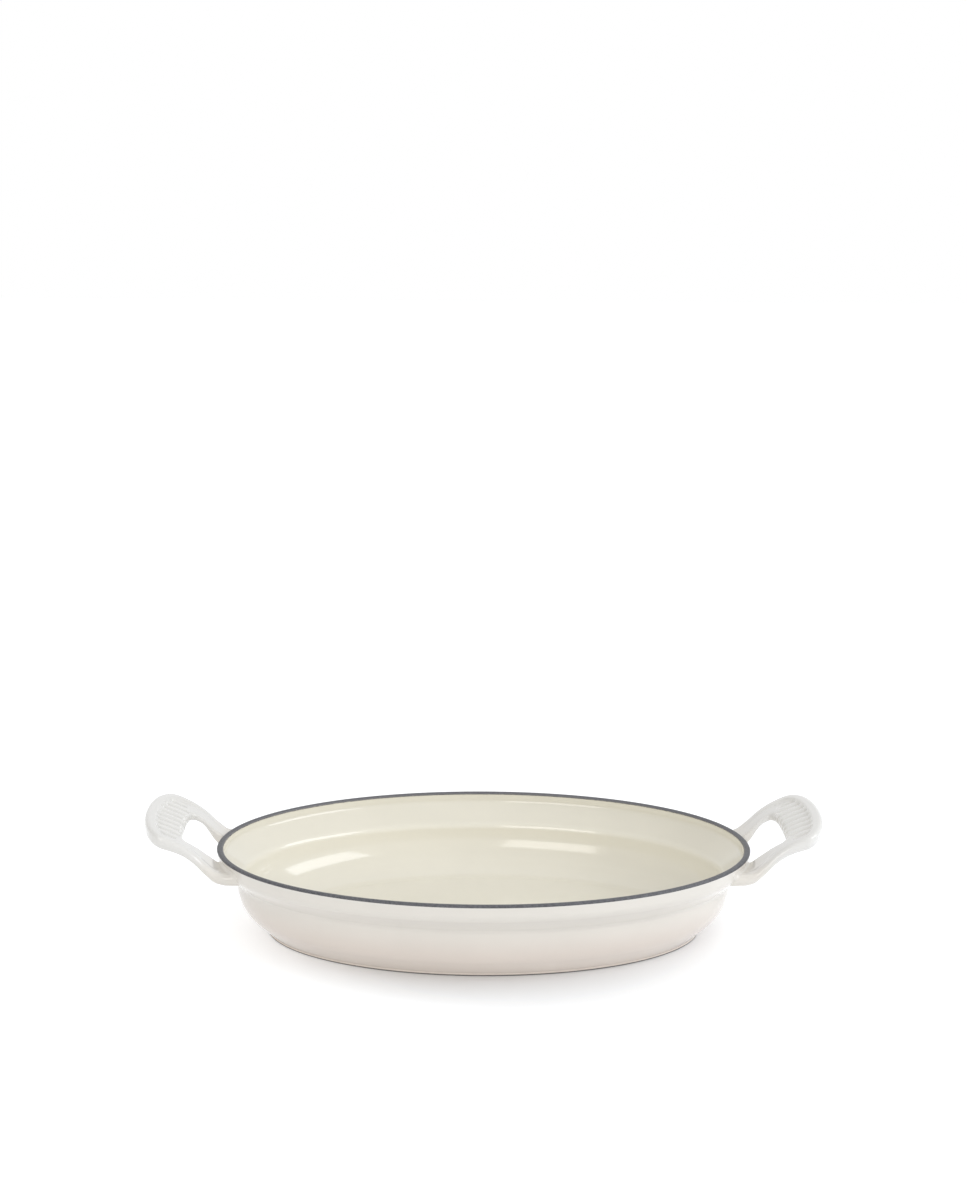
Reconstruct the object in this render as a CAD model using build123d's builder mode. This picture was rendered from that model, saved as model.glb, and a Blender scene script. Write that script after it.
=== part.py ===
from build123d import *
import math
import os

# Small oval gratin dish, cast in one piece with two raised loop handles.
# Origin: middle of the foot, on the surface it stands on. X runs through the handles.
# Every inset is measured inward from the outer edge of the rim, in plan.

# Overall sizes
rim_length = 280.0
rim_width = 201.6
dish_height = 45.6
handle_reach = 36.7
handle_rise = 20.6

# Wall, from the rim down
lip_width = 3.2
lip_coat = 0.9
lip_round = 1.1
collar_depth = 8.0
collar_taper = 0.9
collar_edge_round = 2.6
shoulder_slope = 43.0
belly_inset = 10.5
belly_drop = 19.4
wall_thickness = 3.4
ledge_drop = 5.4
ledge_slope = 46.0
cove_radius = 3.2
ledge_edge_round = 2.4
floor_height = 4.8
floor_fillet = 12.0
lining_thickness = 0.4

# Foot
foot_inset = 26.1
foot_height = 1.4
foot_width = 4.6

# Handles
root_drop = 4.9
root_thickness = 5.4
grip_thickness = 8.6
grip_width = 77.0
grip_bow = 7.7
grip_corner = 10.5
opening_width = 48.8
opening_reach = 17.2
opening_bow = 0.8
opening_corner = 4.8
bead_width = 5.4
dish_depth = 0.9
groove_count = 9
groove_pitch = 7.0
groove_width = 2.4
groove_depth = 0.9
groove_start = 13.0
groove_margin = 0.8
overrun = 12.0

# Corners of the plan outlines, one half each, from the bowl out:
# shares of the reach beyond the rim and of half the width
outer_shares = [(-0.7, 1.04), (0.3, 0.985), (1, 1)]
opening_shares = [(-0.8, 0.78), (0.6, 0.96), (1, 1)]

# Side profile: share of the reach beyond the rim, then share of the climb,
# of the extra thickness of the grip and of the depth of the dished top
side_shares = [
    (-0.7, 0, 0, 0.2),
    (-0.08, 0.04, 0, 0.4),
    (0.08, 0.23, 0, 0.7),
    (0.245, 0.47, 0, 1),
    (0.435, 0.66, 0.3, 1),
    (0.7, 0.845, 0.9, 1),
    (1, 1, 1, 1),
]

# Radius of the belly, as a share of the height from the foot to where the wall is upright
belly_round_share = 0.9435

# How many facets each rounded part of the wall has
outside_facets = 3
inside_facets = 2

half_length = rim_length / 2
half_width = rim_width / 2

os.makedirs("parts", exist_ok=True)


def rounded(before, corner, after, radius, facets):
    """A corner between two straight runs, rounded by facets that touch an arc of this radius."""
    into = Vector(corner[0] - before[0], corner[1] - before[1]).normalized()
    out = Vector(after[0] - corner[0], after[1] - corner[1]).normalized()
    turn = math.radians(into.get_angle(out))
    side = 1 if into.cross(out).Z > 0 else -1
    start = Vector(*corner) - into * (radius * math.tan(turn / 2))
    centre = start + Vector(-into.Y, into.X) * (side * radius)
    first = math.atan2(start.Y - centre.Y, start.X - centre.X)
    reach = radius / math.cos(turn / 2 / facets)
    points = []
    for facet in range(facets):
        angle = first + side * turn * (facet + 1 / 2) / facets
        points.append((centre.X + reach * math.cos(angle), centre.Y + reach * math.sin(angle)))
    return points


# Belly: a vertical start, one arc, and a straight run that touches the arc and ends at the foot
foot_rise = dish_height - belly_drop - foot_height
belly_radius = belly_round_share * foot_rise
belly_centre = (belly_inset + belly_radius, dish_height - belly_drop)
foot_run = belly_centre[0] - foot_inset
foot_angle = math.atan2(foot_rise, foot_run)
belly_turn = foot_angle - math.acos(belly_radius / math.hypot(foot_rise, foot_run))
belly_corner = (belly_inset, belly_centre[1] - belly_radius * math.tan(belly_turn / 2))

# Outside of the wall, from the foot up to the dark band on the lip
lip_base = dish_height - lip_coat
collar_bottom = dish_height - collar_depth
shoulder_drop = (belly_inset - collar_taper) * math.tan(math.radians(shoulder_slope))
foot_edge = (foot_inset, foot_height)
shoulder_corner = (belly_inset, collar_bottom - shoulder_drop)
collar_corner = (collar_taper, collar_bottom)
collar_top = (0, lip_base)
outside = [foot_edge]
outside += rounded(foot_edge, belly_corner, shoulder_corner, belly_radius, outside_facets)
outside += [shoulder_corner]
outside += rounded(shoulder_corner, collar_corner, collar_top, collar_edge_round, inside_facets)
outside += [collar_top]


def inside(depth, edge_count):
    """Inside of the wall, from the floor up; depth is how far it lies behind the visible face."""
    slope = math.radians(ledge_slope)
    radius = belly_radius - wall_thickness + depth
    wall_inset = belly_centre[0] - radius
    lip_inset = lip_width - depth
    floor = floor_height - depth
    middle = (half_width, floor)
    wall_corner = (wall_inset, belly_centre[1] - radius * math.tan(belly_turn / 2))
    floor_run = (wall_corner[1] - floor) * math.tan(belly_turn)
    floor_corner = (wall_inset + floor_run, floor)
    cove_drop = ledge_drop - depth * math.tan(slope) + depth / math.cos(slope)
    cove = (lip_inset, dish_height - cove_drop)
    ledge = (wall_inset, cove[1] - (wall_inset - lip_inset) * math.tan(slope))
    top = (lip_inset, lip_base)
    points = rounded(middle, floor_corner, wall_corner, floor_fillet, edge_count)
    points += rounded(floor_corner, wall_corner, ledge, radius, inside_facets)
    points += rounded(wall_corner, ledge, cove, ledge_edge_round, edge_count)
    points += rounded(ledge, cove, top, cove_radius, edge_count)
    return points + [top]


lining_face = inside(0, inside_facets)
iron_face = inside(lining_thickness, 1)


# Bowl casting: floor, belly, shoulder and collar
with BuildPart() as bowl:
    for inset, height in outside:
        with BuildSketch(Plane.XY.offset(height)):
            Ellipse(half_length - inset, half_width - inset)
    loft(ruled=True)
    for inset, height in iron_face + [(iron_face[-1][0], dish_height)]:
        with BuildSketch(Plane.XY.offset(height)):
            Ellipse(half_length - inset, half_width - inset)
    loft(ruled=True, mode=Mode.SUBTRACT)
bowl.part.label = "bowl"
export_step(bowl.part, "parts/bowl.step")

# Sand-coloured enamel lining, face to face with the iron
with BuildPart() as interior_enamel:
    for inset, height in iron_face:
        with BuildSketch(Plane.XY.offset(height)):
            Ellipse(half_length - inset, half_width - inset)
    loft(ruled=True)
    for inset, height in lining_face + [(lining_face[-1][0], dish_height)]:
        with BuildSketch(Plane.XY.offset(height)):
            Ellipse(half_length - inset, half_width - inset)
    loft(ruled=True, mode=Mode.SUBTRACT)
interior_enamel.part.label = "interior_enamel"
export_step(interior_enamel.part, "parts/interior_enamel.step")

# Dark enamel band that caps the lip
cap = [
    (0, lip_base),
    (lip_round, dish_height),
    (lip_width - lip_round, dish_height),
    (lip_width, lip_base),
]
with BuildPart() as rim_enamel:
    for inset, height in cap[:2]:
        with BuildSketch(Plane.XY.offset(height)):
            Ellipse(half_length - inset, half_width - inset)
    loft(ruled=True)
    for inset, height in reversed(cap[2:]):
        with BuildSketch(Plane.XY.offset(height)):
            Ellipse(half_length - inset, half_width - inset)
    loft(ruled=True, mode=Mode.SUBTRACT)
rim_enamel.part.label = "rim_enamel"
export_step(rim_enamel.part, "parts/rim_enamel.step")

# Ground ring that the dish stands on
with BuildPart() as foot_ring:
    with BuildSketch():
        Ellipse(half_length - foot_inset, half_width - foot_inset)
        inner_inset = foot_inset + foot_width
        Ellipse(half_length - inner_inset, half_width - inner_inset, mode=Mode.SUBTRACT)
    extrude(amount=foot_height)
foot_ring.part.label = "foot_ring"
export_step(foot_ring.part, "parts/foot_ring.step")


def side_curve(level):
    """Side view of the handle, from the bowl out: 0 underside, 1 rim of the grip, 2 dished top."""
    points = []
    for place, climb, extra, dish in side_shares:
        top = dish_height - root_drop + (handle_rise + root_drop) * climb
        thickness = root_thickness + (grip_thickness - root_thickness) * extra
        dished = top - dish_depth * dish
        height = (top - thickness, top, dished, dished - groove_depth)[level]
        points.append((half_length + handle_reach * place, height))
    return points


def half_outline(reach, width, bow, shares):
    """Corners of a plan outline and the middle of its bowed end."""
    points = [(half_length + reach * x, width / 2 * y) for x, y in shares]
    tip = points[-1][0]
    points[-1] = (tip - bow, points[-1][1])
    return points, (tip, 0)


outer_points, outer_tip = half_outline(handle_reach, grip_width, grip_bow, outer_shares)
opening_points, opening_tip = half_outline(
    opening_reach, opening_width, opening_bow, opening_shares
)
root_x = outer_points[0][0]
top_clear = dish_height + handle_rise + overrun

# Plan of the handle, its opening, and the sunk field that leaves a bead along the edge
with BuildSketch() as outline:
    with BuildLine():
        Polyline(outer_points)
        ThreePointArc(outer_points[-1], outer_tip, (outer_points[-1][0], -outer_points[-1][1]))
        Polyline([(x, -y) for x, y in reversed(outer_points)])
        Line((root_x, -outer_points[0][1]), outer_points[0])
    make_face()
    fillet(outline.vertices().sort_by(Axis.X)[-2:], radius=grip_corner)
with BuildSketch() as opening:
    with BuildLine():
        Polyline(opening_points)
        ThreePointArc(
            opening_points[-1], opening_tip, (opening_points[-1][0], -opening_points[-1][1])
        )
        Polyline([(x, -y) for x, y in reversed(opening_points)])
        Line((opening_points[0][0], -opening_points[0][1]), opening_points[0])
    make_face()
    fillet(opening.vertices().sort_by(Axis.X)[-2:], radius=opening_corner)
with BuildSketch() as field_plan:
    add(outline.sketch)
    offset(amount=-bead_width, mode=Mode.REPLACE)
groove_plan = offset(field_plan.sketch, -groove_margin, mode=Mode.PRIVATE)

with BuildPart() as envelope:
    for inset, height in outside:
        with BuildSketch(Plane.XY.offset(height)):
            Ellipse(half_length - inset, half_width - inset)
    loft(ruled=True)

# Sunk field and the grooves between the ribs, as the cuts that make them
with BuildPart() as field:
    add(field_plan.sketch)
    extrude(amount=top_clear)
    with BuildSketch(Plane.XZ):
        with BuildLine():
            Polyline(side_curve(2) + [(outer_tip[0], top_clear), (root_x, top_clear)], close=True)
        make_face()
    extrude(amount=grip_width, both=True, mode=Mode.INTERSECT)
with BuildPart() as grooves:
    with BuildSketch():
        with Locations((half_length + groove_start, 0)):
            with GridLocations(0, groove_pitch, 1, groove_count):
                Rectangle(handle_reach, groove_width, align=(Align.MIN, Align.CENTER))
        add(groove_plan, mode=Mode.INTERSECT)
    extrude(amount=top_clear)
    with BuildSketch(Plane.XZ):
        with BuildLine():
            Polyline(side_curve(3) + [(outer_tip[0], top_clear), (root_x, top_clear)], close=True)
        make_face()
    extrude(amount=grip_width, both=True, mode=Mode.INTERSECT)

# Right handle: plan and side view crossed
with BuildPart() as right_handle:
    with BuildSketch():
        add(outline.sketch)
        add(opening.sketch, mode=Mode.SUBTRACT)
    extrude(amount=top_clear)
    with BuildSketch(Plane.XZ):
        with BuildLine():
            Polyline(side_curve(0) + side_curve(1)[::-1], close=True)
        make_face()
    extrude(amount=grip_width, both=True, mode=Mode.INTERSECT)
    add(field.part, mode=Mode.SUBTRACT)
    add(grooves.part, mode=Mode.SUBTRACT)
    add(envelope.part, mode=Mode.SUBTRACT)
right_handle.part.label = "right_handle"
export_step(right_handle.part, "parts/right_handle.step")

# Left handle: the same loop at the other end
with BuildPart() as left_handle:
    mirror(right_handle.part, about=Plane.YZ)
left_handle.part.label = "left_handle"
export_step(left_handle.part, "parts/left_handle.step")
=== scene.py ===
import math

import bmesh
import bpy
from mathutils import Matrix, Vector


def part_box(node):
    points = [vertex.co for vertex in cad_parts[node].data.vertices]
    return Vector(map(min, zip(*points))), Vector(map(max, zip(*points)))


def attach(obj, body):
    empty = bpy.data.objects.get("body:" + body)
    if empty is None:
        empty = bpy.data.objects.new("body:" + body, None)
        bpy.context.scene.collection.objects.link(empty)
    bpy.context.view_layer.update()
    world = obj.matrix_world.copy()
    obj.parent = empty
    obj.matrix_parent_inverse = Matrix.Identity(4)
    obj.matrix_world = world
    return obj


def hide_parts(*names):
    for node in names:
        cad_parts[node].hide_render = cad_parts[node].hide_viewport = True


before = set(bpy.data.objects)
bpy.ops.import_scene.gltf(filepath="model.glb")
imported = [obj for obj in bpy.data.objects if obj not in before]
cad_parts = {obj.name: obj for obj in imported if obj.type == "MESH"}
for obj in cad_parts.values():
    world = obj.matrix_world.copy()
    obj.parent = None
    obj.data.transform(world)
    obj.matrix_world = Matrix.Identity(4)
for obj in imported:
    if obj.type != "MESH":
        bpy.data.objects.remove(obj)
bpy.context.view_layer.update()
mm = 0.001

rimLow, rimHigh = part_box("rim_enamel")
_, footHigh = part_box("foot_ring")
_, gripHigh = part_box("right_handle")

# Main sizes of the dish, in millimetres
halfLength = rimHigh.x / mm
halfWidth = rimHigh.y / mm
rimTop = rimHigh.z / mm
lipBase = rimLow.z / mm
footTop = footHigh.z / mm
footInset = halfLength - footHigh.x / mm
gripTip = gripHigh.x / mm


# Outlines: small helpers for profiles in millimetres

def arcCorner(before, corner, after, radius, steps):
    a = (Vector(before) - Vector(corner)).normalized()
    b = (Vector(after) - Vector(corner)).normalized()
    half = a.angle(b) / 2
    reach = radius / math.tan(half)
    centre = Vector(corner) + (a + b).normalized() * (radius / math.sin(half))
    start = Vector(corner) + a * reach - centre
    end = Vector(corner) + b * reach - centre
    angle = start.angle(end)
    points = []
    for i in range(steps + 1):
        t = i / steps
        p = (start * math.sin((1 - t) * angle) + end * math.sin(t * angle)) / math.sin(angle)
        points.append((centre + p)[:])
    return points


# Each corner is x, y, the radius of its round and the steps of its arc
def roundedLine(corners):
    points = []
    for i, (x, y, radius, steps) in enumerate(corners):
        if radius == 0:
            points.append((x, y))
            continue
        before, after = corners[i - 1], corners[(i + 1) % len(corners)]
        points += arcCorner(before[:2], (x, y), after[:2], radius, steps)
    return points


# Runs through all the points and never swings past them
def smoothCurve(points, x):
    xs = [p[0] for p in points]
    ys = [p[1] for p in points]
    if x <= xs[0]:
        return ys[0]
    if x >= xs[-1]:
        return ys[-1]
    slopes = [(ys[i + 1] - ys[i]) / (xs[i + 1] - xs[i]) for i in range(len(xs) - 1)]
    tangents = [slopes[0]]
    for a, b in zip(slopes, slopes[1:]):
        tangents.append(0 if a * b <= 0 else 2 * a * b / (a + b))
    tangents.append(slopes[-1])
    i = max(k for k in range(len(xs) - 1) if xs[k] <= x)
    h = xs[i + 1] - xs[i]
    t = (x - xs[i]) / h
    return (
        (1 + 2 * t) * (1 - t) ** 2 * ys[i]
        + t * (1 - t) ** 2 * h * tangents[i]
        + t * t * (3 - 2 * t) * ys[i + 1]
        - t * t * (1 - t) * h * tangents[i + 1]
    )


def ease(t):
    t = max(0.0, min(1.0, t))
    return t * t * (3 - 2 * t)


# Wall of the dish, from rim to foot

wall = {
    "aroundSteps": 480,
    "collarDepth": 8.0,
    "collarTaper": 0.9,
    "collarRound": 7.0,
    "shoulderSlope": 43.0,
    "shoulderRound": 4.0,
    "bellyInset": 10.5,
    "bellyDrop": 19.4,
    "bellyRound": 23.4,
    "wallThickness": 3.4,
    "lipWidth": 3.2,
    "lipRound": 1.25,
    "ledgeDrop": 5.4,
    "ledgeSlope": 46.0,
    "coveRound": 3.2,
    "ledgeRound": 5.0,
    "floorHeight": 4.8,
    "floorRound": 17.0,
    "liningThickness": 0.4,
    "footWidth": 4.6,
    "footRound": 0.5,
    "flatRings": 14,
    "bellySteps": 28,
    "collarSteps": 24,
    "shoulderSteps": 14,
    "floorSteps": 14,
    "ledgeSteps": 10,
    "lipSteps": 8,
    "footSteps": 4,
}

bellyCentre = (wall["bellyInset"] + wall["bellyRound"], rimTop - wall["bellyDrop"])
footRise = bellyCentre[1] - footTop
footRun = bellyCentre[0] - footInset
footReach = math.hypot(footRise, footRun)
bellyTurn = math.atan2(footRise, footRun) - math.acos(wall["bellyRound"] / footReach)


def outsideProfile():
    collarBottom = rimTop - wall["collarDepth"]
    slope = math.radians(wall["shoulderSlope"])
    drop = (wall["bellyInset"] - wall["collarTaper"]) * math.tan(slope)
    bellyCorner = bellyCentre[1] - wall["bellyRound"] * math.tan(bellyTurn / 2)
    return roundedLine([
        (footInset, footTop, 0, 0),
        (wall["bellyInset"], bellyCorner, wall["bellyRound"], wall["bellySteps"]),
        (wall["bellyInset"], collarBottom - drop, wall["shoulderRound"], wall["shoulderSteps"]),
        (wall["collarTaper"], collarBottom, wall["collarRound"], wall["collarSteps"]),
        (0, lipBase, 0, 0),
    ])


# The lining's own face at depth 0, and the iron under it at the lining's thickness
def insideProfile(depth):
    slope = math.radians(wall["ledgeSlope"])
    radius = wall["bellyRound"] - wall["wallThickness"] + depth
    wallInset = bellyCentre[0] - radius
    lipInset = wall["lipWidth"] - depth
    floor = wall["floorHeight"] - depth
    wallCorner = bellyCentre[1] - radius * math.tan(bellyTurn / 2)
    floorCorner = wallInset + (wallCorner - floor) * math.tan(bellyTurn)
    cove = rimTop - (wall["ledgeDrop"] - depth * math.tan(slope) + depth / math.cos(slope))
    ledge = cove - (wallInset - lipInset) * math.tan(slope)
    return roundedLine([
        (floorCorner + wall["floorRound"], floor, 0, 0),
        (floorCorner, floor, wall["floorRound"], wall["floorSteps"]),
        (wallInset, wallCorner, radius, wall["bellySteps"]),
        (wallInset, ledge, wall["ledgeRound"], wall["ledgeSteps"]),
        (lipInset, cove, wall["coveRound"], wall["ledgeSteps"]),
        (lipInset, lipBase, 0, 0),
    ])


def lipProfile():
    width = wall["lipWidth"]
    return roundedLine([
        (0, lipBase, 0, 0),
        (0, rimTop, wall["lipRound"], wall["lipSteps"]),
        (width, rimTop, wall["lipRound"], wall["lipSteps"]),
        (width, lipBase, 0, 0),
    ])


def footProfile():
    width = wall["footWidth"]
    return roundedLine([
        (footInset, footTop, 0, 0),
        (footInset, 0, wall["footRound"], wall["footSteps"]),
        (footInset + width, 0, wall["footRound"], wall["footSteps"]),
        (footInset + width, footTop, 0, 0),
    ])


def addRing(bm, inset, height, scale=1.0):
    steps = wall["aroundSteps"]
    ring = []
    for i in range(steps):
        angle = 2 * math.pi * i / steps
        x = (halfLength - inset) * scale * math.cos(angle)
        y = (halfWidth - inset) * scale * math.sin(angle)
        ring.append(bm.verts.new((x * mm, y * mm, height * mm)))
    return ring


def joinRings(bm, lower, upper):
    steps = len(lower)
    for i in range(steps):
        j = (i + 1) % steps
        bm.faces.new((lower[i], lower[j], upper[j], upper[i]))


def flatDisc(bm, ring, inset, height, rings):
    for k in range(1, rings):
        inner = addRing(bm, inset, height, 1 - k / rings)
        joinRings(bm, ring, inner)
        ring = inner
    middle = bm.verts.new((0, 0, height * mm))
    for i in range(len(ring)):
        bm.faces.new((ring[i], ring[(i + 1) % len(ring)], middle))


weldGap = 1e-7
crispAngle = 38  # degrees; an edge that turns by more stays sharp


def finishMesh(bm, name, material):
    bmesh.ops.remove_doubles(bm, verts=bm.verts, dist=weldGap)
    bmesh.ops.recalc_face_normals(bm, faces=bm.faces)
    mesh = bpy.data.meshes.new(name)
    bm.to_mesh(mesh)
    bm.free()
    mesh.polygons.foreach_set("use_smooth", [True] * len(mesh.polygons))
    mesh.set_sharp_from_angle(angle=math.radians(crispAngle))
    mesh.materials.append(material)
    piece = bpy.data.objects.new(name, mesh)
    bpy.context.scene.collection.objects.link(piece)
    return piece


# A profile swept round the oval: a cup closed by two flat discs, or a closed band
def ovalShell(name, material, profile, isCup):
    bm = bmesh.new()
    rings = [addRing(bm, inset, height) for inset, height in profile]
    for lower, upper in zip(rings, rings[1:]):
        joinRings(bm, lower, upper)
    if isCup:
        flatDisc(bm, rings[0], *profile[0], wall["flatRings"])
        flatDisc(bm, rings[-1], *profile[-1], wall["flatRings"])
    else:
        joinRings(bm, rings[-1], rings[0])
    return finishMesh(bm, name, material)


# Loop handles, modelled as one band that runs out, round the grip and back

handle = {
    # x is measured out from the end of the rim, heights from the top of the rim
    "outerShape": [(-16, 40.8), (-2, 40.5), (7, 39.8), (16, 39.7), (24, 39.4)],
    "endStart": 24.0,
    "endPower": 2.18,
    "openingShape": [(-16, 19.6), (-3, 20.2), (3, 21.2), (7, 22.9), (10, 24.0), (12.5, 24.4)],
    "openingStart": 12.5,
    "openingEnd": 17.2,
    "openingPower": 3.0,
    "topLine": [
        (-16, -4.6), (-8, -4.5), (-3, -3.5), (3, 1.0), (9, 6.8),
        (16, 11.7), (24, 15.55), (32, 18.5), (36.7, 20.0),
    ],
    "thickness": [(-16, 5.6), (-3, 5.8), (9, 5.8), (16, 6.8), (24, 8.3), (32, 9.1), (36.7, 8.9)],
    "underSlant": [(-16, 1.2), (0, 0.9), (8, -0.6), (16, -2.3), (36, -2.3)],
    "dish": [(-16, 0.1), (-3, 0.1), (4, 0.3), (12, 0.9), (20, 1.4), (36, 1.4)],
    "outerRound": 2.7,
    "innerRound": 1.6,
    "beadWidth": 5.2,
    "beadSlope": 1.5,
    "beadRound": 1.0,
    "grooves": 9,
    "groovePitch": 7.0,
    "grooveWidth": 4.6,
    "grooveDepth": 1.7,
    "grooveIn": 12.5,
    "grooveSpread": 5.0,
    "grooveFade": 4.0,
    "grooveTurn": 0.25,  # how far a groove wraps over the inner edge
    "grooveStop": 0.4,  # where it starts to run out, short of the bead's slope, and over what length
    "grooveStopFade": 1.6,
    "rootDepth": 0.6,  # how far the arms reach into the wall
    "rootLevel": 2.0,  # how far under the arms' top line their ends are set out
    "topBlend": 1.8,  # swells where the arms meet the collar
    "topFrom": 0.3,
    "sideBlend": 2.4,
    "sideTurn": 0.5,
    "sideEdge": 0.6,
    "sideRise": 2.6,
    "leastSwell": 0.01,
    "armSteps": 56,
    "endSteps": 120,
    "cornerSteps": (6, 8, 5, 5, 8, 8),
    "runSteps": (4, 24, 2, 3, 4, 9),
}

outsideFace = outsideProfile()


def outsideInset(height):
    return smoothCurve([(z, inset) for inset, z in outsideFace], height)


# Where the outside of the wall is, at this width and height, some depth under its skin
def surfaceX(y, height, depth):
    inset = outsideInset(height) + depth
    return (halfLength - inset) * math.sqrt(1 - (y / (halfWidth - inset)) ** 2) - halfLength


def superOval(angle, halfX, halfY, power):
    c, s = abs(math.cos(angle)), abs(math.sin(angle))
    return halfX * c ** (2 / power), halfY * s ** (2 / power)


# Pairs of points, on the opening and on the outline, along one arm and half the grip
def bandStations():
    stations = []
    rootHeight = rimTop + handle["topLine"][0][1] - handle["rootLevel"]
    inner = surfaceX(handle["openingShape"][0][1], rootHeight, handle["rootDepth"])
    outer = surfaceX(handle["outerShape"][0][1], rootHeight, handle["rootDepth"])
    for i in range(handle["armSteps"]):
        t = i / handle["armSteps"]
        xi = inner + (handle["openingStart"] - inner) * t
        xo = outer + (handle["endStart"] - outer) * t
        opening = (xi, smoothCurve(handle["openingShape"], xi))
        outline = (xo, smoothCurve(handle["outerShape"], xo))
        stations.append((opening, outline, 1 - t))
    outerHalf = handle["outerShape"][-1][1]
    innerHalf = handle["openingShape"][-1][1]
    outerReach = gripTip - halfLength - handle["endStart"]
    innerReach = handle["openingEnd"] - handle["openingStart"]
    for i in range(handle["endSteps"] + 1):
        angle = math.pi / 2 * (1 - i / handle["endSteps"])
        ox, oy = superOval(angle, outerReach, outerHalf, handle["endPower"])
        ix, iy = superOval(angle, innerReach, innerHalf, handle["openingPower"])
        stations.append(((handle["openingStart"] + ix, iy), (handle["endStart"] + ox, oy), 0))
    return stations


# Cut through the band: across it from the opening, and up; the runs between rounds get points too
def bandSection(width, thickness, dish, slant):
    bead = width - handle["beadWidth"]
    corners = [
        (0, -thickness - slant, handle["innerRound"]),
        (0, -dish, handle["innerRound"]),
        (bead - handle["beadSlope"], -dish, handle["beadRound"]),
        (bead, 0, handle["beadRound"]),
        (width, 0, handle["outerRound"]),
        (width, -thickness, handle["outerRound"]),
    ]
    points = roundedLine([(*corner, n) for corner, n in zip(corners, handle["cornerSteps"])])
    section = []
    last = -1
    for cornerSteps, steps in zip(handle["cornerSteps"], handle["runSteps"]):
        first, last = last + 1, last + 1 + cornerSteps
        section += points[first:last + 1]
        here, after = points[last], points[(last + 1) % len(points)]
        section += [
            (here[0] + (after[0] - here[0]) * m / steps, here[1] + (after[1] - here[1]) * m / steps)
            for m in range(1, steps)
        ]
    return section


def outwardNormals(section):
    normals = []
    for k in range(len(section)):
        a, b = section[k - 1], section[(k + 1) % len(section)]
        run = math.hypot(b[0] - a[0], b[1] - a[1])
        normals.append((-(b[1] - a[1]) / run, (b[0] - a[0]) / run))
    return normals


# Depth of the nearest groove at this point; the outer grooves start farther out than the middle ones
def grooveDepthAt(x, y):
    half = (handle["grooves"] - 1) / 2
    nearest = max(-half, min(half, round(y / handle["groovePitch"])))
    off = abs(y - nearest * handle["groovePitch"]) / (handle["grooveWidth"] / 2)
    if off >= 1:
        return 0
    begin = handle["grooveIn"] + handle["grooveSpread"] * (nearest / half) ** 2
    start = ease((x - begin) / handle["grooveFade"])
    return handle["grooveDepth"] * (0.5 + 0.5 * math.cos(math.pi * off)) * start


# A fillet between arm and wall: how far the arm's skin is pushed out at this point
def rootSwell(x, y, height, up):
    if up > handle["topFrom"]:
        radius = handle["topBlend"]
    else:
        turned = (up + handle["sideTurn"]) / handle["sideTurn"]
        raised = (height - rimTop + wall["collarDepth"] - handle["sideEdge"]) / handle["sideRise"]
        radius = handle["sideBlend"] * ease(turned) * ease(raised)
    if radius < handle["leastSwell"]:
        return 0
    inset = outsideInset(height)
    a, b = halfLength - inset, halfWidth - inset
    surface = a * math.sqrt(max(0, 1 - (y / b) ** 2))
    slant = math.hypot(surface / a ** 2, y / b ** 2)
    away = (halfLength + x - surface) * surface / a ** 2 / slant
    left = radius - max(0, min(radius, away))
    return radius - math.sqrt(radius ** 2 - left ** 2)


def loopHandle(name, material, side):
    stations = bandStations()
    rootLine = stations[0][0][0], stations[0][1][0]
    both = [(*s, 1) for s in stations] + [(*s, -1) for s in reversed(stations[:-1])]
    bm = bmesh.new()
    loops = []
    for (ix, iy), (ox, oy), rootward, mirror in both:
        width = math.hypot(ox - ix, oy - iy)
        middle = (ix + ox) / 2
        thickness, dish, slant = [
            smoothCurve(handle[key], middle) for key in ("thickness", "dish", "underSlant")
        ]
        section = bandSection(width, thickness, dish, slant)
        normals = outwardNormals(section)
        alongX, alongY = (ox - ix) / width, (oy - iy) / width
        fieldEnd = width - handle["beadWidth"] - handle["beadSlope"]
        loop = []
        for (s, z), (ns, nz) in zip(section, normals):
            x = ix + alongX * s
            y = iy + alongY * s
            top = rimTop + smoothCurve(handle["topLine"], x)
            if rootward > 0:
                straight = rootLine[0] + (rootLine[1] - rootLine[0]) * s / width
                shift = surfaceX(y, min(top + z, lipBase), handle["rootDepth"]) - straight
                x += shift * rootward ** 2
                top = rimTop + smoothCurve(handle["topLine"], x)
            onTop = ease((nz + handle["grooveTurn"]) / (2 * handle["grooveTurn"]))
            beforeBead = 1 - ease((s - fieldEnd + handle["grooveStop"]) / handle["grooveStopFade"])
            push = rootSwell(x, y, top + z, nz) - grooveDepthAt(x, y) * (onTop * beforeBead)
            x += alongX * ns * push
            y += alongY * ns * push
            loop.append(bm.verts.new((
                side * (halfLength + x) * mm, side * mirror * y * mm, (top + z + nz * push) * mm
            )))
        loops.append(loop)
    for first, second in zip(loops, loops[1:]):
        joinRings(bm, first, second)
    for loop in (loops[0], loops[-1]):
        bm.faces.new(loop)
    return finishMesh(bm, name, material)


# Finishes: glossy enamel outside and in, a matt dark lip, bare iron under the foot; painted shade,
# painted light and a painted highlight are in their colours

finish = {
    "porcelain": (0.80, 0.79, 0.765),
    "ivory": (0.79, 0.757, 0.70),
    # painted shade: the darkest stop of the outer enamel, low on the belly and on the foot's glaze
    "paintedShadeIvory": (0.78, 0.705, 0.64),
    "cream": (0.815, 0.783, 0.678),
    # painted light: the lining's paler bands that lift the shade under the ledge and under the lip
    "paintedLightCream": (0.865, 0.833, 0.728),
    "slate": (0.102, 0.104, 0.115),
    # painted highlight on the inward faces of the lip
    "lipHighlightGrey": (0.17, 0.167, 0.182),
    # bare iron at the foot's edge, also painting the contact shadow line along the base
    "iron": (0.10, 0.095, 0.09),
    "lipHighlightFrom": -0.35,  # how squarely a face of the lip looks inward where the painted highlight grey begins
    "lipHighlightTo": -0.9,
    # below glazeFrom the foot is dark: bare iron drawn thin as a painted contact shadow
    "glazeFrom": 0.4,
    "glazeTo": 0.8,
}

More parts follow.
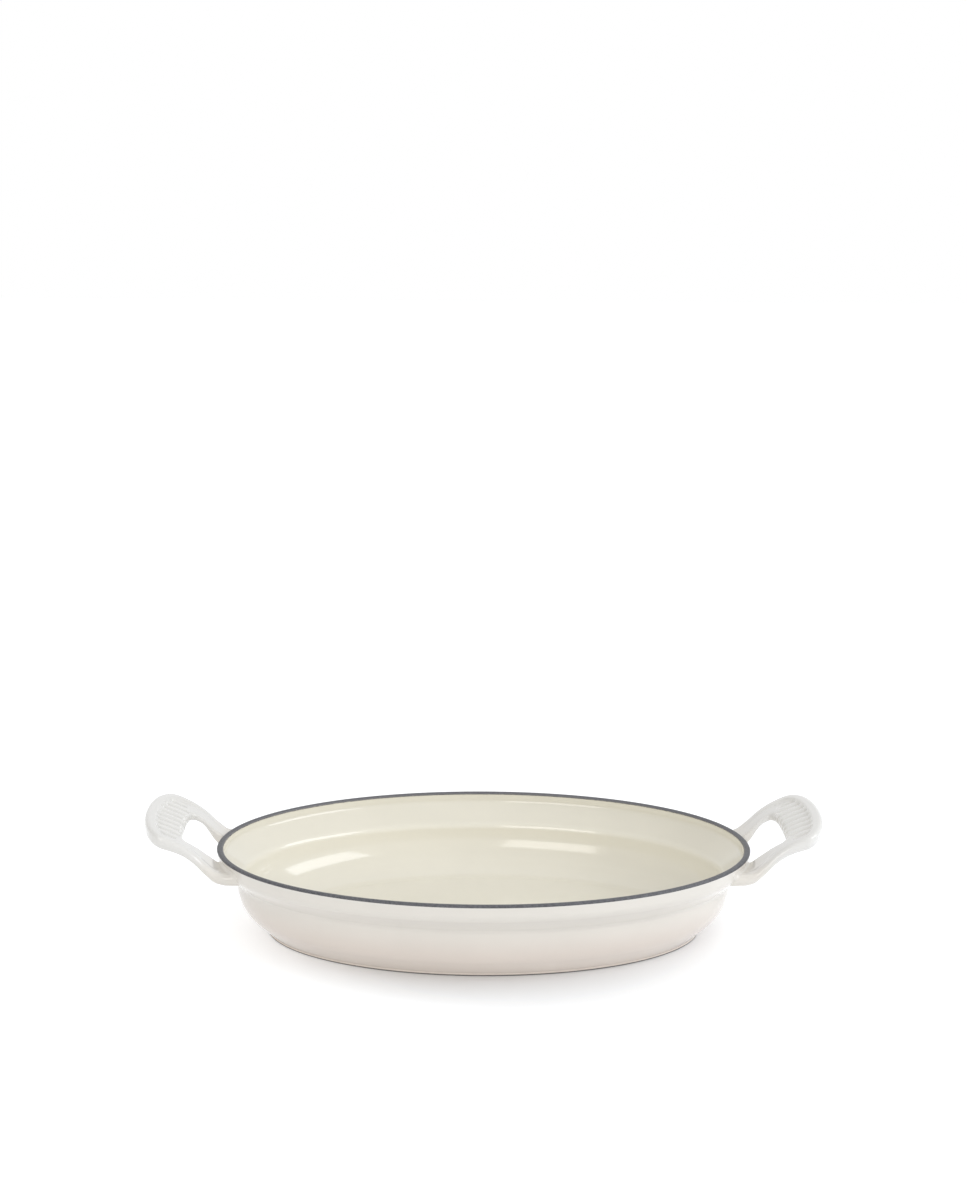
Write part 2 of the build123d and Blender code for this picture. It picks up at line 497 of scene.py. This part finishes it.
# Glassy enamel: a faint cloud in the colour, a faint swell in the surface
glass = {
    "roughness": 0.14,
    "ior": 1.5,
    "coat": 0.45,
    "coatRoughness": 0.06,
    "cloudScale": 38,
    "cloudDetail": 4,
    "cloudFrom": 0.3,
    "cloudTo": 0.7,
    "cloudDark": 0.985,
    "cloudLight": 1.01,
    "swellScale": 260,
    "swellDetail": 2,
    "swellHeight": 0.0003,
}

# Matt coats: fine specks, dark and light shares of the colour
matt = {
    "speckDetail": 6,
    "darkAt": 0.35,
    "darkShare": 0.72,
    "lightAt": 0.68,
    "lightShare": 1.3,
    "bump": 0.35,
}


def nodeMaterial(name):
    material = bpy.data.materials.new(name)
    material.use_nodes = True
    tree = material.node_tree
    shader = tree.nodes["Principled BSDF"]
    return material, tree, shader


def link(tree, source, output, target, socket):
    tree.links.new(source.outputs[output], target.inputs[socket])


def enamel(name, stops, ripple):
    material, tree, shader = nodeMaterial(name)
    nodes = tree.nodes
    place = nodes.new("ShaderNodeTexCoord")
    split = nodes.new("ShaderNodeSeparateXYZ")
    link(tree, place, "Object", split, 0)
    height = nodes.new("ShaderNodeMapRange")
    height.inputs["From Min"].default_value = 0
    height.inputs["From Max"].default_value = stops[-1][0] * mm
    link(tree, split, "Z", height, "Value")
    tint = nodes.new("ShaderNodeValToRGB")
    tint.color_ramp.interpolation = "EASE"
    while len(tint.color_ramp.elements) < len(stops):
        tint.color_ramp.elements.new(0.5)
    for element, (level, colour) in zip(tint.color_ramp.elements, stops):
        element.position = level / stops[-1][0]
        element.color = (*colour, 1)
    link(tree, height, "Result", tint, "Fac")
    cloud = nodes.new("ShaderNodeTexNoise")
    cloud.inputs["Scale"].default_value = glass["cloudScale"]
    cloud.inputs["Detail"].default_value = glass["cloudDetail"]
    link(tree, place, "Object", cloud, "Vector")
    shift = nodes.new("ShaderNodeHueSaturation")
    strength = nodes.new("ShaderNodeMapRange")
    strength.inputs["From Min"].default_value = glass["cloudFrom"]
    strength.inputs["From Max"].default_value = glass["cloudTo"]
    strength.inputs["To Min"].default_value = glass["cloudDark"]
    strength.inputs["To Max"].default_value = glass["cloudLight"]
    link(tree, cloud, "Fac", strength, "Value")
    link(tree, strength, "Result", shift, "Value")
    link(tree, tint, "Color", shift, "Color")
    link(tree, shift, "Color", shader, "Base Color")
    waves = nodes.new("ShaderNodeTexNoise")
    waves.inputs["Scale"].default_value = glass["swellScale"]
    waves.inputs["Detail"].default_value = glass["swellDetail"]
    link(tree, place, "Object", waves, "Vector")
    bump = nodes.new("ShaderNodeBump")
    bump.inputs["Strength"].default_value = ripple
    bump.inputs["Distance"].default_value = glass["swellHeight"]
    link(tree, waves, "Fac", bump, "Height")
    link(tree, bump, "Normal", shader, "Normal")
    shader.inputs["Roughness"].default_value = glass["roughness"]
    shader.inputs["IOR"].default_value = glass["ior"]
    shader.inputs["Coat Weight"].default_value = glass["coat"]
    shader.inputs["Coat Roughness"].default_value = glass["coatRoughness"]
    return material


def mattCoat(name, colour, roughness, grain, depth):
    material, tree, shader = nodeMaterial(name)
    nodes = tree.nodes
    place = nodes.new("ShaderNodeTexCoord")
    speck = nodes.new("ShaderNodeTexNoise")
    speck.inputs["Scale"].default_value = grain
    speck.inputs["Detail"].default_value = matt["speckDetail"]
    link(tree, place, "Object", speck, "Vector")
    ramp = nodes.new("ShaderNodeValToRGB")
    for element, level in zip(ramp.color_ramp.elements, ("dark", "light")):
        element.position = matt[level + "At"]
        element.color = (*[c * matt[level + "Share"] for c in colour], 1)
    link(tree, speck, "Fac", ramp, "Fac")
    link(tree, ramp, "Color", shader, "Base Color")
    bump = nodes.new("ShaderNodeBump")
    bump.inputs["Strength"].default_value = matt["bump"]
    bump.inputs["Distance"].default_value = depth
    link(tree, speck, "Fac", bump, "Height")
    link(tree, bump, "Normal", shader, "Normal")
    shader.inputs["Roughness"].default_value = roughness
    return material


# The outer side of the foot is glazed; only the edge that stands on the table is bare iron, kept
# thin as painted shade: the contact shadow line along the base
def glazeOver(material, colour, low, high):
    tree = material.node_tree
    shader = tree.nodes["Principled BSDF"]
    place = tree.nodes.new("ShaderNodeTexCoord")
    split = tree.nodes.new("ShaderNodeSeparateXYZ")
    link(tree, place, "Object", split, 0)
    height = tree.nodes.new("ShaderNodeMapRange")
    height.interpolation_type = "SMOOTHSTEP"
    height.inputs["From Min"].default_value = low * mm
    height.inputs["From Max"].default_value = high * mm
    link(tree, split, "Z", height, "Value")
    blendOver(tree, shader, height, colour)


# Faces of the lip that look inward are painted grey: a painted highlight where the lip's inner
# rounding catches the light
def paintLipHighlight(material, colour):
    tree = material.node_tree
    shader = tree.nodes["Principled BSDF"]
    place = tree.nodes.new("ShaderNodeTexCoord")
    outward = tree.nodes.new("ShaderNodeVectorMath")
    outward.operation = "MULTIPLY"
    outward.inputs[1].default_value = (1, (halfLength / halfWidth) ** 2, 0)
    link(tree, place, "Object", outward, 0)
    unit = tree.nodes.new("ShaderNodeVectorMath")
    unit.operation = "NORMALIZE"
    link(tree, outward, 0, unit, 0)
    facing = tree.nodes.new("ShaderNodeVectorMath")
    facing.operation = "DOT_PRODUCT"
    link(tree, unit, 0, facing, 0)
    link(tree, place, "Normal", facing, 1)
    inward = tree.nodes.new("ShaderNodeMapRange")
    inward.interpolation_type = "SMOOTHSTEP"
    inward.inputs["From Min"].default_value = finish["lipHighlightFrom"]
    inward.inputs["From Max"].default_value = finish["lipHighlightTo"]
    link(tree, facing, "Value", inward, "Value")
    blendOver(tree, shader, inward, colour)


def blendOver(tree, shader, amount, colour):
    under = shader.inputs["Base Color"].links[0].from_socket
    cover = tree.nodes.new("ShaderNodeMix")
    cover.data_type = "RGBA"
    cover.inputs["B"].default_value = (*colour, 1)
    tree.links.new(under, cover.inputs["A"])
    link(tree, amount, "Result", cover, "Factor")
    tree.links.new(cover.outputs["Result"], shader.inputs["Base Color"])


# Heights in millimetres, each with the colour there; towards the foot the enamel is painted warmer
# and darker, painted shade under the belly
whiteEnamelAndPaintedShade = enamel("whiteEnamelAndPaintedShade", [
    (12, finish["paintedShadeIvory"]),
    (32, finish["ivory"]),
    (41, finish["ivory"]),
    (52, finish["porcelain"]),
], ripple=0.12)
# The lining is painted paler in bands on the steep wall under the ledge and under the lip: painted
# light that lifts the shade there
sandEnamelAndPaintedLight = enamel("sandEnamelAndPaintedLight", [
    (13, finish["cream"]),
    (25, finish["paintedLightCream"]),
    (29, finish["paintedLightCream"]),
    (32, finish["cream"]),
    (38, finish["cream"]),
    (43, finish["paintedLightCream"]),
], ripple=0.10)
darkEnamel = mattCoat("darkEnamel", finish["slate"], roughness=0.5, grain=900, depth=0.0002)
footIronAndContactShade = mattCoat("footIronAndContactShade", finish["iron"], roughness=0.6, grain=1300, depth=0.0003)
# painted highlight: lighter grey on the lip's inward faces
paintLipHighlight(darkEnamel, finish["lipHighlightGrey"])
# bare iron below glazeFrom, drawn thin as a painted contact shadow along the base
glazeOver(footIronAndContactShade, finish["paintedShadeIvory"], finish["glazeFrom"], finish["glazeTo"])
print("materials ready")

ironInside = insideProfile(wall["liningThickness"])
casting = ovalShell("bowlCasting", whiteEnamelAndPaintedShade, outsideFace + ironInside[::-1], isCup=True)
lining = ovalShell("bowlLining", sandEnamelAndPaintedLight, ironInside + insideProfile(0)[::-1], isCup=True)
lip = ovalShell("lipBand", darkEnamel, lipProfile(), isCup=False)
foot = ovalShell("footRing", footIronAndContactShade, footProfile(), isCup=False)
rightHandle = loopHandle("rightHandle", whiteEnamelAndPaintedShade, 1)
leftHandle = loopHandle("leftHandle", whiteEnamelAndPaintedShade, -1)

standsFor = {
    "bowl": (casting, "white_enamel"),
    "interior_enamel": (lining, "sand_enamel"),
    "rim_enamel": (lip, "dark_enamel"),
    "foot_ring": (foot, "foot_iron"),
    "right_handle": (rightHandle, "white_enamel"),
    "left_handle": (leftHandle, "white_enamel"),
}
for node, (piece, slotName) in standsFor.items():
    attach(piece, "root")
    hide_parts(node)
print("pieces made:", len(standsFor))


# Studio: pale floor that runs out to white, two soft boxes, camera

studio = {
    # Places and sizes in millimetres, turns in degrees
    "cameraPlace": (-28.88, -1192.97, 417.2),
    "cameraTurn": -1.3256,
    "cameraPitch": 11.401,
    "cameraRoll": 0.4516,
    "lens": 70.839,
    "sensor": 36.0,
    "floorSize": 9000.0,
    "floorColour": (0.84, 0.85, 0.865),
    "floorRoughness": 0.9,
    "floorSpecular": 0.1,
    "floorBounce": 0.14,  # glow of the floor that lights the dish from below
    "glowCentre": (14.0, -12.0),
    "glowNear": 65.0,
    "glowFull": 152.0,
    "glowFar": 0.46,  # glow of the floor that the camera sees beyond glowFull
    "worldStrength": 0.475,
    "worldTint": (1.0, 1.0, 1.0),
    "worldLean": (0.08, 0.25, 0.60),  # brighter from the right, from behind and from above
    "boxes": {
        "keyBox": {
            "size": (1150, 640),
            "place": (1154, -322, 770),
            "aim": (-88, 58, 20),
            "power": 7.5,
            "tint": (0.95, 0.98, 1.02),
        },
        "fillBox": {
            "size": (800, 610),
            "place": (-521, -1181, 606),
            "aim": (40, 80, 20),
            "power": 4.4,
            "tint": (1, 0.975, 0.93),
        },
    },
}


# 1 for what the camera sees, itself or in a reflection, and 0 for light that falls on things
def seenOrMirrored(tree):
    path = tree.nodes.new("ShaderNodeLightPath")
    seen = tree.nodes.new("ShaderNodeMath")
    seen.operation = "MAXIMUM"
    link(tree, path, "Is Camera Ray", seen, 0)
    link(tree, path, "Is Glossy Ray", seen, 1)
    either = tree.nodes.new("ShaderNodeMath")
    either.operation = "MAXIMUM"
    link(tree, seen, 0, either, 0)
    link(tree, path, "Is Transmission Ray", either, 1)
    return either


def makeWorld():
    world = bpy.data.worlds.new("studioWorld")
    bpy.context.scene.world = world
    world.use_nodes = True
    tree = world.node_tree
    lit = tree.nodes["Background"]
    lit.inputs["Color"].default_value = (*studio["worldTint"], 1)
    place = tree.nodes.new("ShaderNodeTexCoord")
    lean = tree.nodes.new("ShaderNodeVectorMath")
    lean.operation = "DOT_PRODUCT"
    lean.inputs[1].default_value = [v * studio["worldStrength"] for v in studio["worldLean"]]
    link(tree, place, "Generated", lean, 0)
    level = tree.nodes.new("ShaderNodeMath")
    level.inputs[1].default_value = studio["worldStrength"]
    link(tree, lean, "Value", level, 0)
    link(tree, level, 0, lit, "Strength")
    white = tree.nodes.new("ShaderNodeBackground")
    white.inputs["Color"].default_value = (1, 1, 1, 1)
    white.inputs["Strength"].default_value = 1
    mix = tree.nodes.new("ShaderNodeMixShader")
    link(tree, seenOrMirrored(tree), 0, mix, 0)
    link(tree, lit, 0, mix, 1)
    link(tree, white, 0, mix, 2)
    link(tree, mix, 0, tree.nodes["World Output"], "Surface")


# The floor keeps its shadow near the dish; farther out, a glow that lights nothing takes it to white
def makeFloor():
    bm = bmesh.new()
    half = studio["floorSize"] / 2 * mm
    ends = ((-half, -half), (half, -half), (half, half), (-half, half))
    bm.faces.new([bm.verts.new((x, y, 0)) for x, y in ends])
    material, tree, shader = nodeMaterial("studioFloor")
    shader.inputs["Base Color"].default_value = (*studio["floorColour"], 1)
    shader.inputs["Roughness"].default_value = studio["floorRoughness"]
    shader.inputs["Specular IOR Level"].default_value = studio["floorSpecular"]
    place = tree.nodes.new("ShaderNodeTexCoord")
    fromCentre = tree.nodes.new("ShaderNodeVectorMath")
    fromCentre.operation = "SUBTRACT"
    fromCentre.inputs[1].default_value = [v * mm for v in (*studio["glowCentre"], 0)]
    link(tree, place, "Object", fromCentre, 0)
    away = tree.nodes.new("ShaderNodeVectorMath")
    away.operation = "LENGTH"
    link(tree, fromCentre, 0, away, 0)
    spread = tree.nodes.new("ShaderNodeMapRange")
    spread.interpolation_type = "SMOOTHSTEP"
    spread.inputs["From Min"].default_value = studio["glowNear"] * mm
    spread.inputs["From Max"].default_value = studio["glowFull"] * mm
    spread.inputs["To Max"].default_value = studio["glowFar"]
    link(tree, away, "Value", spread, "Value")
    glow = tree.nodes.new("ShaderNodeMix")
    glow.inputs["A"].default_value = studio["floorBounce"]
    link(tree, seenOrMirrored(tree), 0, glow, "Factor")
    link(tree, spread, "Result", glow, "B")
    link(tree, glow, "Result", shader, "Emission Strength")
    shader.inputs["Emission Color"].default_value = (1, 1, 1, 1)
    floor = finishMesh(bm, "studioFloor", material)


def softBox(name, size, place, aim, power, tint):
    light = bpy.data.lights.new(name, "AREA")
    light.shape = "RECTANGLE"
    light.size, light.size_y = size[0] * mm, size[1] * mm
    light.energy = power
    light.color = tint
    lamp = bpy.data.objects.new(name, light)
    lamp.location = Vector(place) * mm
    lamp.rotation_mode = "QUATERNION"
    lamp.rotation_quaternion = (Vector(aim) - Vector(place)).to_track_quat("-Z", "Y")
    bpy.context.scene.collection.objects.link(lamp)


makeWorld()
makeFloor()
for name, box in studio["boxes"].items():
    softBox(name, **box)

camera = bpy.data.objects.new("camera", bpy.data.cameras.new("camera"))
camera.data.lens = studio["lens"]
camera.data.sensor_width = studio["sensor"]
camera.matrix_world = (
    Matrix.Translation(Vector(studio["cameraPlace"]) * mm)
    @ Matrix.Rotation(math.radians(studio["cameraTurn"]), 4, "Z")
    @ Matrix.Rotation(math.radians(90 - studio["cameraPitch"]), 4, "X")
    @ Matrix.Rotation(math.radians(studio["cameraRoll"]), 4, "Z")
)
bpy.context.scene.collection.objects.link(camera)
bpy.context.scene.camera = camera
bpy.context.scene.view_settings.view_transform = "Standard"
print("studio ready")
